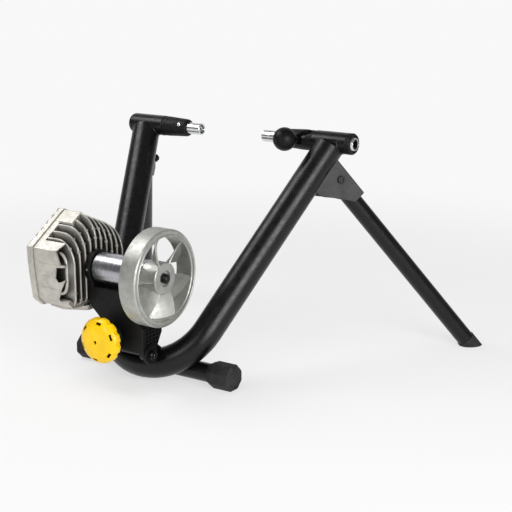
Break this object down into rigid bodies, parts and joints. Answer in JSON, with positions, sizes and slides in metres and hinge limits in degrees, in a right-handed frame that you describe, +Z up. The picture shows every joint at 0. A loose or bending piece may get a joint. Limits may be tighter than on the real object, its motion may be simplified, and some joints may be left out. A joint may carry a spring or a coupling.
{
  "type": "fluid bike trainer",
  "caption": "Folding bicycle trainer: a leaning bent-tube stand with axle cups, a bolt-action clamp, and a swinging yoke with roller, fan flywheel and finned fluid resistance unit.",
  "frame": {"origin": "on the floor, under the middle of the whole trainer's box", "axes": "+X along the wheel's axle towards the clamp with the ball handle, +Z up, so that the roller is on the -Y side"},
  "size_m": [0.8078, 0.6098, 0.4144],
  "materials": {
    "black_paint": "satin black powder coat",
    "bracket_paint": "dark grey powder coat",
    "black_casting": "semi-matt black",
    "rubber": "matt",
    "bright_zinc": "bright plated steel",
    "dark_steel": "black oxide",
    "cast_aluminium": "cast",
    "roller_steel": "turned",
    "yellow_plastic": "gloss"
  },
  "bodies": {
    "stand": {"main_frame": "black_paint", "left_sleeve": "black_paint", "right_sleeve": "black_paint", "left_nose": "black_casting", "left_cup": "bright_zinc", "left_set_screw": "bright_zinc", "right_nose": "black_casting", "right_end_cap": "black_casting", "right_end_ring": "bright_zinc", "right_hex_plug": "dark_steel", "left_leg_bracket": "bracket_paint", "right_leg_bracket": "bracket_paint", "left_leg_bolt": "dark_steel", "right_leg_bolt": "dark_steel", "left_leg_nut": "dark_steel", "right_leg_nut": "dark_steel", "foot_bar": "black_paint", "left_foot_cap": "rubber", "right_foot_cap": "rubber", "pivot_lug": "black_paint", "pivot_bolt": "dark_steel", "pivot_disc": "black_casting", "pivot_nut": "dark_steel"},
    "clamp_cup": {"right_cup": "bright_zinc"},
    "clamp_handle": {"clamp_plunger": "bright_zinc", "clamp_stem": "dark_steel", "clamp_ball": "black_casting"},
    "left_leg": {"left_leg_tube": "black_paint", "left_leg_foot": "rubber"},
    "right_leg": {"right_leg_tube": "black_paint", "right_leg_foot": "rubber"},
    "swing_yoke": {"yoke": "black_casting", "mount_screw": "bright_zinc", "draw_bolt": "dark_steel", "draw_barrel": "bright_zinc", "thrust_washer": "bright_zinc", "unit_housing": "cast_aluminium", "unit_cover": "cast_aluminium", "cover_screw_1": "dark_steel", "cover_screw_2": "dark_steel", "cover_screw_3": "dark_steel", "cover_screw_4": "dark_steel", "cover_screw_5": "dark_steel", "cover_screw_6": "dark_steel", "roller_bearing": "bright_zinc", "unit_bearing": "bright_zinc", "shaft_seal": "rubber"},
    "knob": {"clutch_knob": "yellow_plastic", "clutch_core": "black_casting"},
    "rotor": {"rotor_shaft": "bright_zinc", "roller": "roller_steel", "flywheel": "cast_aluminium", "flywheel_nut": "bright_zinc", "impeller": "cast_aluminium"}
  },
  "joints": [
    {"name": "clamp_cup_slide", "type": "slide", "parent": "stand", "child": "clamp_cup", "axis": [1, 0, 0], "range_m": [0, 0.022]},
    {"name": "clamp_handle_turn", "type": "hinge", "parent": "clamp_cup", "child": "clamp_handle", "pos_m": [0.1425, 0.08114, 0.387], "axis": [-1, 0, 0], "range_deg": [0, 78]},
    {"name": "left_leg_fold", "type": "hinge", "parent": "stand", "child": "left_leg", "pos_m": [-0.21148, 0.08018, 0.3235], "axis": [-0.8418, -0.5268, 0.1177], "range_deg": [0, 70]},
    {"name": "right_leg_fold", "type": "hinge", "parent": "stand", "child": "right_leg", "pos_m": [0.21148, 0.08018, 0.3235], "axis": [-0.8418, 0.5268, -0.1177], "range_deg": [0, 70]},
    {"name": "yoke_swing", "type": "hinge", "parent": "stand", "child": "swing_yoke", "pos_m": [0, -0.22886, 0.0595], "axis": [1, 0, 0], "range_deg": [-4, 10]},
    {"name": "clutch_knob_turn", "type": "hinge", "parent": "swing_yoke", "child": "knob", "pos_m": [-0.0235, -0.26636, 0.0845], "axis": [0, -1, 0], "range_deg": [-250, 610]},
    {"name": "rotor_spin", "type": "hinge", "parent": "swing_yoke", "child": "rotor", "pos_m": [0, -0.22386, 0.193], "axis": [1, 0, 0], "continuous": true}
  ],
  "couplings": [
    {"joint": "clamp_cup_slide", "follows": "clamp_handle_turn", "m_per_rad": 0.01616},
    {"joint": "clutch_knob_turn", "follows": "yoke_swing", "ratio": 60}
  ]
}
